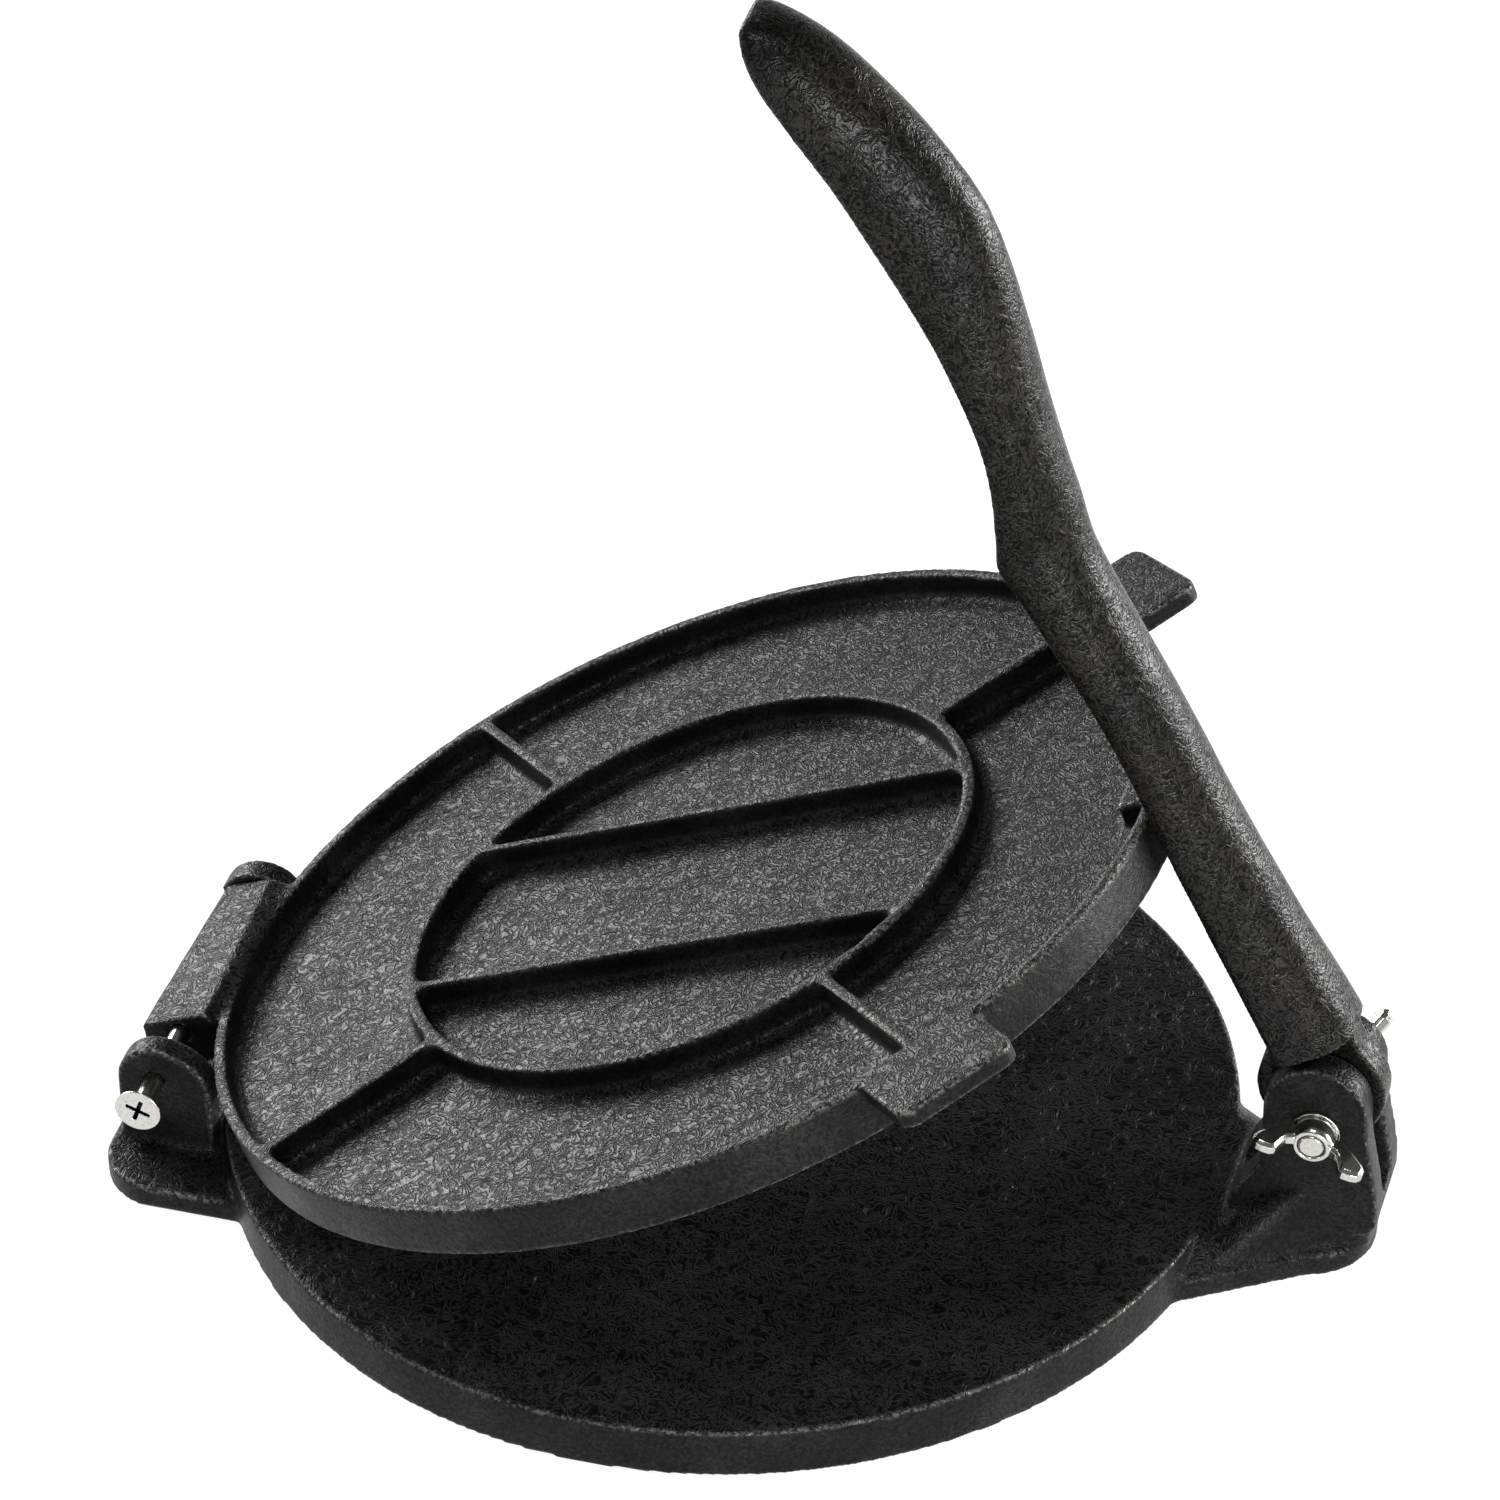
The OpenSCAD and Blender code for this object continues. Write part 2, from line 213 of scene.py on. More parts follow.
@dataclass(frozen=True)
class SeasonedIron:
    """Grey cast iron, sand cast and seasoned with baked oil.

    The oil bakes to a thin dark skin that crinkles into fine curling lines, so flat faces turned
    up look mid grey and worm-marked in a soft light while steep faces stay nearly black. Handling
    wears the skin off the edges, where grey metal shows as thin bright broken lines; these pale
    edge lines are also painted highlights.

    Attributes:
        name: the material's name.
        dark: colour of the skin in its hollows.
        skin: colour of the skin.
        pale: colour of the skin on its high spots.
        bare_highlight_colour: colour of the metal at the edges where the skin is gone, which is
            also a painted highlight.
        crinkle: height of the crinkle, mm.
        sand_height: height of the sand marks, mm.
        rough: roughness of the skin.
        wear_highlight: how far the edges lose their skin and take the painted highlight.
        oil: specular level of the baked oil.
        gleam: how much more the crests shine than the hollows.
        curl: size of the crinkle's curls, mm.
        line: width of one crinkle line, mm.
        sand: width of the sand grains printed by the mould, mm.
        patch: size of the cloudy patches of the oil, mm.
        rough_span: how much rougher its hollows are, and how much smoother its crests.
        fleck: how much the shine flecks with the sand grain.
        crest_tone: how much paler the crests are than the hollows.
        grain_tone: how much the sand grain speckles the tone.
        slopes: upward slants between which the crinkle comes in.
        steep: share of the crinkle left on steep faces.
        edge_metallic: metallic share of the edges with the painted highlight.
    """

    name: str
    dark: str
    skin: str
    pale: str
    bare_highlight_colour: str
    crinkle: float
    sand_height: float
    rough: float
    wear_highlight: float
    oil: float
    gleam: float
    curl: float = 4.0
    line: float = 0.45
    sand: float = 0.5
    patch: float = 25.0
    rough_span: float = 0.07
    fleck: float = 0.4
    crest_tone: float = 0.24
    grain_tone: float = 0.55
    slopes: tuple[float, float] = (0.35, 0.8)
    steep: float = 0.3
    edge_metallic: float = 0.75

    def crests(self, tree: NodeTree, where: NodeSocket, normal: NodeSocket) -> NodeSocket:
        """Adds the crinkle's curling lines, which fade on steep faces.

        Args:
            tree: the material's node tree.
            where: the place on the object.
            normal: the direction the face looks in.

        Returns:
            The socket that goes from -1 in the hollows to 1 on the crests.
        """
        # The level lines of a soft noise curl like worms, spaced one line width apart.
        swell = add_node(
            tree,
            "ShaderNodeTexNoise",
            sockets={"Vector": where, "Scale": 1.0 / (self.curl * MM), "Detail": 1.5,
                     "Roughness": 0.45, "Distortion": 0.9},
        )
        levels = add_node(
            tree, "ShaderNodeMath", {"operation": "MULTIPLY"},
            {0: swell.outputs[0], 1: 2.0 * math.pi * self.curl / self.line},
        )
        lines = add_node(tree, "ShaderNodeMath", {"operation": "SINE"}, {0: levels.outputs[0]})
        # The skin pools and crinkles on faces turned up and runs off the steep ones.
        facing = add_node(tree, "ShaderNodeSeparateXYZ", sockets={0: normal})
        flat = add_node(
            tree, "ShaderNodeMapRange", {"interpolation_type": "SMOOTHSTEP"},
            {"Value": facing.outputs["Z"],
             "From Min": self.slopes[0], "From Max": self.slopes[1],
             "To Min": self.steep, "To Max": 1.0},
        )
        waves = add_node(
            tree, "ShaderNodeMath", {"operation": "MULTIPLY"},
            {0: lines.outputs[0], 1: flat.outputs[0]},
        )
        return waves.outputs[0]

    def relief(self, tree: NodeTree, waves: NodeSocket, grain: NodeSocket) -> NodeSocket:
        """Adds the fine height of the crinkle and the sand.

        Args:
            tree: the material's node tree.
            waves: the crinkle, from -1 to 1.
            grain: the sand grain.

        Returns:
            The socket with the bumped normal.
        """
        crinkled = add_node(
            tree, "ShaderNodeMath", {"operation": "MULTIPLY"},
            {0: waves, 1: self.crinkle * 0.5},
        )
        sanded = add_node(
            tree, "ShaderNodeMath", {"operation": "MULTIPLY_ADD"},
            {0: grain, 1: self.sand_height, 2: crinkled.outputs[0]},
        )
        bump = add_node(
            tree,
            "ShaderNodeBump",
            sockets={"Strength": 1.0, "Distance": MM, "Height": sanded.outputs[0]},
        )
        return bump.outputs[0]

    def rubbed_highlit_edges(self, tree: NodeTree, grain: NodeSocket) -> NodeSocket:
        """Adds the pale edges, where the skin is gone and a highlight is painted: the mesh's
        outer corners, broken up by the sand grain.

        Args:
            tree: the material's node tree.
            grain: the sand grain.

        Returns:
            The socket that is 1 where the metal shows and the painted highlight is full.
        """
        # Painted highlight: the outer edges get a pale colour that stands in for light along
        # them, besides the skin wearing off there.
        mark = add_node(tree, "ShaderNodeAttribute", {"attribute_name": "outer_edge"})
        broken = add_node(
            tree, "ShaderNodeMapRange", {"interpolation_type": "SMOOTHSTEP"},
            {"Value": grain, "From Min": 0.44, "From Max": 0.6, "To Min": 0.1, "To Max": 1.0},
        )
        edge = add_node(
            tree, "ShaderNodeMath", {"operation": "MULTIPLY"},
            {0: mark.outputs["Fac"], 1: broken.outputs[0]},
        )
        worn_highlight = add_node(
            tree, "ShaderNodeMath", {"operation": "MULTIPLY", "use_clamp": True},
            {0: edge.outputs[0], 1: self.wear_highlight},
        )
        return worn_highlight.outputs[0]

    def shine(self, tree: NodeTree, waves: NodeSocket, grain: NodeSocket) -> NodeSocket:
        """Adds the specular level: crests and tops of grains hold more oil and shine.

        Args:
            tree: the material's node tree.
            waves: the crinkle, from -1 to 1.
            grain: the sand grain.

        Returns:
            The socket with the level, whose mean is that of the baked oil.
        """
        lifted = add_node(
            tree, "ShaderNodeMath", {"operation": "MULTIPLY"},
            {0: waves, 1: 0.5 * self.gleam},
        )
        flecks = add_node(
            tree,
            "ShaderNodeMapRange",
            sockets={"Value": grain, "From Min": 0.4, "From Max": 0.6,
                     "To Min": -0.5 * self.fleck, "To Max": 0.5 * self.fleck},
        )
        oily = add_node(
            tree, "ShaderNodeMath", {"operation": "ADD"},
            {0: lifted.outputs[0], 1: flecks.outputs[0]},
        )
        level = add_node(
            tree,
            "ShaderNodeMapRange",
            sockets={"Value": oily.outputs[0], "From Min": -1.0, "From Max": 1.0,
                     "To Min": 0.0, "To Max": 2.0 * self.oil},
        )
        return level.outputs[0]

    def material(self) -> Material:
        """Builds the material.

        Returns:
            The node material.
        """
        made, tree = blank_material(self.name)
        place = add_node(tree, "ShaderNodeTexCoord")
        where = place.outputs["Object"]
        waves = self.crests(tree, where, place.outputs["Normal"])
        # Sand grains that the mould prints everywhere.
        grain = add_node(
            tree,
            "ShaderNodeTexNoise",
            sockets={"Vector": where, "Scale": 1.0 / (self.sand * GRAIN_SPACING * MM),
                     "Detail": 3.0, "Roughness": 0.65},
        )
        # Cloudy thickness of the baked oil.
        cloud = add_node(
            tree,
            "ShaderNodeTexNoise",
            sockets={"Vector": where, "Scale": 1.0 / (self.patch * MM), "Detail": 3.0,
                     "Roughness": 0.55},
        )
        # Pale edges: partly metal showing through the skin, partly a painted highlight.
        worn_highlight = self.rubbed_highlit_edges(tree, grain.outputs[0])
        # Tone: hollows dark, crests pale, clouded and speckled.
        clouded = add_node(
            tree, "ShaderNodeMath", {"operation": "MULTIPLY_ADD"},
            {0: waves, 1: self.crest_tone, 2: cloud.outputs[0]},
        )
        speckled = add_node(
            tree, "ShaderNodeMath", {"operation": "MULTIPLY_ADD"},
            {0: grain.outputs[0], 1: self.grain_tone, 2: clouded.outputs[0]},
        )
        low, high = TONE_RANGE
        tone = add_node(
            tree,
            "ShaderNodeMapRange",
            sockets={"Value": speckled.outputs[0], "From Min": low, "From Max": high},
        )
        skin = add_node(tree, "ShaderNodeValToRGB", sockets={0: tone.outputs[0]})
        set_stops(skin, [(0.1, self.dark), (0.5, self.skin), (0.95, self.pale)])
        # Painted highlight: the pale colour goes on the edges.
        colour = add_node(
            tree, "ShaderNodeMix", {"data_type": "RGBA"},
            {0: worn_highlight, 6: skin.outputs["Color"], 7: linear(self.bare_highlight_colour)},
        )
        gloss = add_node(
            tree,
            "ShaderNodeMapRange",
            sockets={"Value": speckled.outputs[0], "From Min": low, "From Max": high,
                     "To Min": self.rough + self.rough_span,
                     "To Max": self.rough - self.rough_span},
        )
        metal = add_node(
            tree, "ShaderNodeMath", {"operation": "MULTIPLY"}, {0: worn_highlight, 1: self.edge_metallic}
        )
        surface = add_node(
            tree,
            "ShaderNodeBsdfPrincipled",
            sockets={"Base Color": colour.outputs[2], "Roughness": gloss.outputs[0],
                     "Metallic": metal.outputs[0],
                     "Specular IOR Level": self.shine(tree, waves, grain.outputs[0]),
                     "Normal": self.relief(tree, waves, grain.outputs[0])},
        )
        add_node(tree, "ShaderNodeOutputMaterial", sockets={0: surface.outputs[0]})
        return made


@dataclass(frozen=True)
class BrightZinc:
    """Steel, cold formed and plated with bright zinc.

    The plating is a nearly mirror-smooth pale grey metal, so each face shows one clear tone of
    what is around it, and only a faint ripple and fine rubbing marks break the reflections.

    Attributes:
        name: the material's name.
        plate: colour of the plating.
        dull: colour of the plating where rubbing marks it.
        shade_colour: colour of the painted shade in its recesses.
        rough: roughness of the plating.
        rough_span: how much rougher it is where rubbing marks it.
        ripple: size of the plating's ripple, mm.
        ripple_height: height of the ripple, mm.
        rub: size of the rubbing marks, mm, drawn coarse: real ones are too fine to show.
    """

    name: str = "bright_zinc_plated_steel"
    plate: str = "#cfceca"
    dull: str = "#a9a8a4"
    shade_colour: str = "#1c1916"
    rough: float = 0.14
    rough_span: float = 0.16
    ripple: float = 2.5
    ripple_height: float = 0.02
    rub: float = 0.6

    def material(self) -> Material:
        """Builds the material.

        Returns:
            The node material.
        """
        made, tree = blank_material(self.name)
        place = add_node(tree, "ShaderNodeTexCoord")
        where = place.outputs["Object"]
        ripple = add_node(
            tree,
            "ShaderNodeTexNoise",
            sockets={"Vector": where, "Scale": 1.0 / (self.ripple * MM), "Detail": 1.0},
        )
        marks = add_node(
            tree,
            "ShaderNodeTexNoise",
            sockets={"Vector": where, "Scale": 1.0 / (self.rub * MM), "Detail": 4.0,
                     "Roughness": 0.7},
        )
        dulled = add_node(
            tree,
            "ShaderNodeMapRange",
            sockets={"Value": marks.outputs[0], "From Min": 0.5, "From Max": 0.75},
        )
        colour = add_node(
            tree, "ShaderNodeMix", {"data_type": "RGBA"},
            {0: dulled.outputs[0], 6: linear(self.plate), 7: linear(self.dull)},
        )
        # Painted shade: the recesses that the mesh marks are darkened towards a dark colour.
        shade_mask = add_node(tree, "ShaderNodeAttribute", {"attribute_name": "recess"})
        shaded_colour = add_node(
            tree, "ShaderNodeMix", {"data_type": "RGBA"},
            {0: shade_mask.outputs["Fac"], 6: colour.outputs[2], 7: linear(self.shade_colour)},
        )
        gloss = add_node(
            tree,
            "ShaderNodeMapRange",
            sockets={"Value": marks.outputs[0], "From Min": 0.3, "From Max": 0.8,
                     "To Min": self.rough, "To Max": self.rough + self.rough_span},
        )
        bump = add_node(
            tree,
            "ShaderNodeBump",
            sockets={"Strength": 1.0, "Distance": self.ripple_height * MM,
                     "Height": ripple.outputs[0]},
        )
        surface = add_node(
            tree,
            "ShaderNodeBsdfPrincipled",
            sockets={"Base Color": shaded_colour.outputs[2], "Roughness": gloss.outputs[0],
                     "Metallic": 1.0, "Normal": bump.outputs[0]},
        )
        add_node(tree, "ShaderNodeOutputMaterial", sockets={0: surface.outputs[0]})
        return made


PLATE_IRON = SeasonedIron(
    name="seasoned_cast_iron_plates",
    dark="#0b0b0b",
    skin="#171717",
    pale="#2e2e2d",
    bare_highlight_colour="#8f8d89",
    crinkle=0.09,
    sand_height=0.1,
    rough=0.38,
    wear_highlight=1.3,
    oil=0.11,
    gleam=1.0,
)
LEVER_IRON = SeasonedIron(
    name="seasoned_cast_iron_lever",
    dark="#0a0a09",
    skin="#151413",
    pale="#292725",
    bare_highlight_colour="#9a958c",
    crinkle=0.05,
    sand_height=0.1,
    rough=0.27,
    wear_highlight=0.5,
    oil=0.14,
    gleam=0.9,
    curl=3.4,
    line=0.5,
    sand=0.33,
    fleck=0.8,
    steep=1.0,
)
ZINC = BrightZinc()


# ------------------------------------------------------------------ mesh work


@dataclass
class Solid:
    """A closed surface under construction, in millimetres.

    Attributes:
        shape: the mesh being drawn.
    """

    shape: BMesh = field(default_factory=bmesh.new)

    def add_prism(
        self, outline: list[tuple[float, float]], low: float, high: float, chamfer: float = 0.0
    ) -> list[BMVert]:
        """Adds an upright prism.

        Args:
            outline: its corners in X and Y, counter-clockwise.
            low: Z of its bottom.
            high: Z of its top.
            chamfer: width of the chamfer round both ends.

        Returns:
            The prism's new vertices.
        """
        count = len(outline)
        points = [Vector(p) for p in outline]
        inner = []
        for k, here in enumerate(points):
            before = (here - points[k - 1]).normalized()
            after = (points[(k + 1) % count] - here).normalized()
            inward = Vector((-(before.y + after.y), before.x + after.x)).normalized()
            inner.append(here + inward * chamfer)
        levels = [(points, low), (points, high)]
        if chamfer > 0.0:
            levels = [(inner, low), (points, low + chamfer), (points, high - chamfer)]
            levels.append((inner, high))
        rings = [[self.shape.verts.new((p.x, p.y, z)) for p in ring] for ring, z in levels]
        self.shape.faces.new(list(reversed(rings[0])))
        self.shape.faces.new(rings[-1])
        for one, two in zip(rings, rings[1:]):
            for k in range(count):
                n = (k + 1) % count
                self.shape.faces.new([one[k], one[n], two[n], two[k]])
        return [v for ring in rings for v in ring]

    def add_lathe(self, profile: list[tuple[float, float]], sides: int) -> list[BMVert]:
        """Adds a turned shape on the Z axis.

        Args:
            profile: radius and Z of each ring, from one end's centre to the other's.
            sides: number of sides round it.

        Returns:
            The shape's new vertices.
        """
        rings = []
        for radius, z in profile:
            if radius < TINY:
                rings.append([self.shape.verts.new((0.0, 0.0, z))])
                continue
            ring = []
            for k in range(sides):
                a = 2.0 * math.pi * k / sides
                ring.append(
                    self.shape.verts.new((radius * math.cos(a), radius * math.sin(a), z))
                )
            rings.append(ring)
        for one, two in zip(rings, rings[1:]):
            for k in range(sides):
                n = (k + 1) % sides
                if len(one) == 1:
                    self.shape.faces.new([one[0], two[n], two[k]])
                elif len(two) == 1:
                    self.shape.faces.new([one[k], one[n], two[0]])
                else:
                    self.shape.faces.new([one[k], one[n], two[n], two[k]])
        return [v for ring in rings for v in ring]

    def move(self, verts: list[BMVert], matrix: Matrix) -> None:
        """Moves some of the vertices by a matrix in millimetres."""
        bmesh.ops.transform(self.shape, matrix=matrix, verts=verts)

    def mesh(self, name: str) -> Mesh:
        """Closes the drawing and gives it as a mesh in metres.

        Args:
            name: the mesh's name.

        Returns:
            The new mesh.
        """
        bmesh.ops.recalc_face_normals(self.shape, faces=self.shape.faces[:])
        bmesh.ops.scale(self.shape, vec=(MM, MM, MM), verts=self.shape.verts[:])
        made = bpy.data.meshes.new(name)
        self.shape.to_mesh(made)
        self.shape.free()
        return made


@dataclass(frozen=True)
class Moulding:
    """Turns a hard-edged solid into the soft shape that a mould or a press gives.

    Attributes:
        grid: spacing of the even grid that the solid is drawn on again, mm.
        rounding: passes that round every edge.
        filling: further passes that fill the inner corners only.
        faces: number of triangles kept.
        uneven: depth of the slow waviness of the surface, mm.
        swells: length, mm, and direction, radians, of each wave of the waviness.
        ease: share of the way to its neighbours' middle that a point moves in a pass.
        bent: bend, in grid steps, past which a point counts as on an outer edge.
        bent_span: further bend at which it counts in full.
    """

    grid: float
    rounding: int = 3
    filling: int = 14
    faces: int = 110000
    uneven: float = 0.0
    swells: tuple[tuple[float, float], ...] = ((31.0, 0.3), (19.0, 1.7), (13.0, 2.9))
    ease: float = 0.5
    bent: float = 0.06
    bent_span: float = 0.1
    quick_step: float = 1.7

    def gridded(self, mesh: Mesh, name: str) -> Mesh:
        """Draws a closed mesh again on the even grid.

        Args:
            mesh: the solid, in metres.
            name: name for the new mesh.

        Returns:
            The new mesh.
        """
        step = self.grid * 1.0
        helper = add_object(name + "_helper", mesh)
        remesh = helper.modifiers.new("grid", "REMESH")
        remesh.mode = "VOXEL"
        remesh.voxel_size = step * MM
        made = self.baked(helper, name)
        bpy.data.objects.remove(helper)
        return made

    @staticmethod
    def baked(piece: Object, name: str) -> Mesh:
        """Gives a new mesh with the piece's modifiers applied.

        Args:
            piece: the object with the modifiers.
            name: name for the new mesh.

        Returns:
            The new mesh.
        """
        bpy.context.view_layer.update()
        graph = bpy.context.evaluated_depsgraph_get()
        made = bpy.data.meshes.new_from_object(
            piece.evaluated_get(graph), preserve_all_data_layers=True, depsgraph=graph
        )
        made.name = name
        return made

    def soften(self, mesh: Mesh) -> None:
        """Rounds the outer edges, fills the inner corners and marks the outer edges.

        Args:
            mesh: the gridded mesh, changed in place. It gains the attribute outer_edge.
        """
        place = points_of(mesh)
        count = len(place)
        pairs = np.empty(len(mesh.edges) * 2, dtype=np.int64)
        mesh.edges.foreach_get("vertices", pairs)
        one, two = pairs.reshape(-1, 2).T
        degree = np.maximum(np.bincount(pairs, minlength=count), 1)[:, None]

        def pull(values: np.ndarray) -> np.ndarray:
            """Gives each point's step towards the middle of its neighbours.

            Args:
                values: the points, or another number or more at each, one to a row.

            Returns:
                The step to the mean of the neighbours' values.
            """
            total = np.empty_like(values)
            for k in range(values.shape[1]):
                total[:, k] = np.bincount(one, values[two, k], count)
                total[:, k] += np.bincount(two, values[one, k], count)
            return total / degree - values

        for _ in range(self.rounding):
            place += self.ease * pull(place)
        normal = self.normals(mesh, place)
        for _ in range(self.filling):
            step = pull(place)
            inner = (step * normal).sum(1, keepdims=True) > 0.0
            place += self.ease * step * inner
        normal = self.normals(mesh, place)
        bend = -(pull(place) * normal).sum(1, keepdims=True) / (self.grid * MM)
        bend += self.ease * pull(bend)
        bend += self.ease * pull(bend)
        edge = np.clip((bend[:, 0] - self.bent) / self.bent_span, 0.0, 1.0)
        if self.uneven > 0.0:
            place += normal * (self.waviness(place) * self.uneven * MM)[:, None]
        mesh.vertices.foreach_set("co", place.ravel())
        mark_points(mesh, "outer_edge", edge)
        mesh.update()

    def waviness(self, place: np.ndarray) -> np.ndarray:
        """Adds up the slow waves, which never lift a point past the hard solid.

        Args:
            place: the points, in metres.

        Returns:
            The height at each point, from -1 in a trough to 0 on a crest.
        """
        wave = np.zeros(len(place))
        for k, (long, turn) in enumerate(self.swells):
            # Each wave runs along two slanting directions, the second a little longer.
            axis = np.array([math.cos(turn), math.sin(turn), 0.6 - 0.5 * k])
            cross = np.array([-math.sin(turn), math.cos(turn), 0.8])
            wave += np.sin(place @ axis * 2.0 * math.pi / (long * MM) + k)
            wave += np.sin(place @ cross * 2.0 * math.pi / (long * 1.3 * MM) + 2.0 * k)
        return (wave / (2.0 * len(self.swells)) - 1.0) * 0.5

    @staticmethod
    def normals(mesh: Mesh, place: np.ndarray) -> np.ndarray:
        """Gives the vertex normals once the vertices are at the given places.

        Args:
            mesh: the mesh, changed in place.
            place: the vertices' new places.

        Returns:
            The normals, one to a row.
        """
        mesh.vertices.foreach_set("co", place.ravel())
        mesh.update()
        out = np.empty(len(mesh.vertices) * 3, dtype=np.float32)
        mesh.vertex_normals.foreach_get("vector", out)
        return out.reshape(-1, 3).astype(float)

    def thinned(self, mesh: Mesh, name: str) -> Mesh:
        """Thins the flat regions down to the number of triangles kept.

        Args:
            mesh: the softened mesh.
            name: name for the new mesh.

        Returns:
            The new mesh, smooth shaded.
        """
        triangles = 2 * len(mesh.polygons)  # the grid's faces have four sides
        helper = add_object(name + "_helper", mesh)
        thin = helper.modifiers.new("thin", "DECIMATE")
        thin.ratio = min(1.0, self.faces / max(1, triangles))
        made = self.baked(helper, name)
        bpy.data.objects.remove(helper)
        made.polygons.foreach_set("use_smooth", [True] * len(made.polygons))
        made.update()
        return made

    def mould(self, mesh: Mesh, name: str) -> Mesh:
        """Runs the whole treatment.

        Args:
            mesh: the closed mesh, in metres.
            name: name for the new mesh.

        Returns:
            The new mesh.
        """
        even = self.gridded(mesh, name + "_even")
        self.soften(even)
        return self.thinned(even, name)


def packed_mesh(node: Object, matrix: Matrix) -> BMesh:
    """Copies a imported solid, welded, in millimetres.

    Args:
        node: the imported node.
        matrix: a move in metres, applied to the copy.

    Returns:
        The copy.
    """
    shape = bmesh.new()
    shape.from_mesh(node.data)
    bmesh.ops.remove_doubles(shape, verts=shape.verts[:], dist=TINY)
    bmesh.ops.transform(shape, matrix=matrix, verts=shape.verts[:])
    bmesh.ops.scale(shape, vec=(1.0 / MM,) * 3, verts=shape.verts[:])
    return shape


def turn_about(point: tuple[float, float, float], degrees: float) -> Matrix:
    """Gives the turn about the Y direction through a point, in millimetres.

    Args:
        point: a point of the axis.
        degrees: the turn.

    Returns:
        The turn.
    """
    there = Matrix.Translation(Vector(point))
    return there @ Matrix.Rotation(math.radians(degrees), 4, "Y") @ there.inverted()


def in_metres(matrix: Matrix) -> Matrix:
    """Turns a rigid move in millimetres to the same move in metres.

    Args:
        matrix: the move in millimetres.

    Returns:
        The move in metres.
    """
    out = matrix.copy()
    out.translation = matrix.translation * MM
    return out


# ------------------------------------------------------------------ the pieces


@dataclass
class Piece:
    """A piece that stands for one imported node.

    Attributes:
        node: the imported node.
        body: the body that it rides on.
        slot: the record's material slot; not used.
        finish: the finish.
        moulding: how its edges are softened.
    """

    node: str
    body: str
    slot: Slot
    finish: SeasonedIron | BrightZinc
    moulding: Moulding

    def settle(self) -> Matrix:
        """Gives the turn, in mm, from the place at rest to the place it is drawn in."""
        return Matrix.Identity(4)

    def add_detail(self, solid: Solid) -> None:
        """Adds the piece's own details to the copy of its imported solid."""

    def recesses(self, place: np.ndarray) -> np.ndarray | None:
        """Gives the painted shade of the points that lie in recesses, given in mm at rest, or
        gives None.
        """
        return None

    def draw(self, frame: dict) -> Mesh:
        """Draws the piece's hard-edged solid.

        Args:
            frame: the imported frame.

        Returns:
            The closed mesh in metres, in the place it is drawn in.
        """
        settle = self.settle()
        solid = Solid(packed_mesh(frame["nodes"][self.node], in_metres(settle)))
        self.add_detail(solid)
        return solid.mesh(self.node + "_hard")

    def build(self, frame: dict, finishes: dict[str, Material]) -> Object:
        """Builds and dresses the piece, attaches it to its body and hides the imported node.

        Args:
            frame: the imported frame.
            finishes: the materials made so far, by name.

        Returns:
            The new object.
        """
        hard = self.draw(frame)
        soft = self.moulding.mould(hard, self.node + "_soft")
        soft.transform(in_metres(self.settle().inverted()))
        # Painted shade: how dark each point in the recesses is painted, stored on the mesh for
        # the material.
        marked = self.recesses(points_of(soft) / MM)
        if marked is not None:
            mark_points(soft, "recess", marked)
        if self.finish.name not in finishes:
            finishes[self.finish.name] = self.finish.material()
        soft.materials.clear()
        soft.materials.append(finishes[self.finish.name])
        made = add_object(self.node + "_cast", soft)
        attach(made, self.body)
        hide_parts(self.node)
        return made


@dataclass
class Base(Piece):
    """The base disc with its rear foot, hinge lugs, neck and forked ears."""

    node: str = "base"
    body: str = "base"
    slot: Slot = Slot.CAST_IRON
    finish: SeasonedIron = PLATE_IRON
    moulding: Moulding = Moulding(grid=0.75, uneven=0.12)


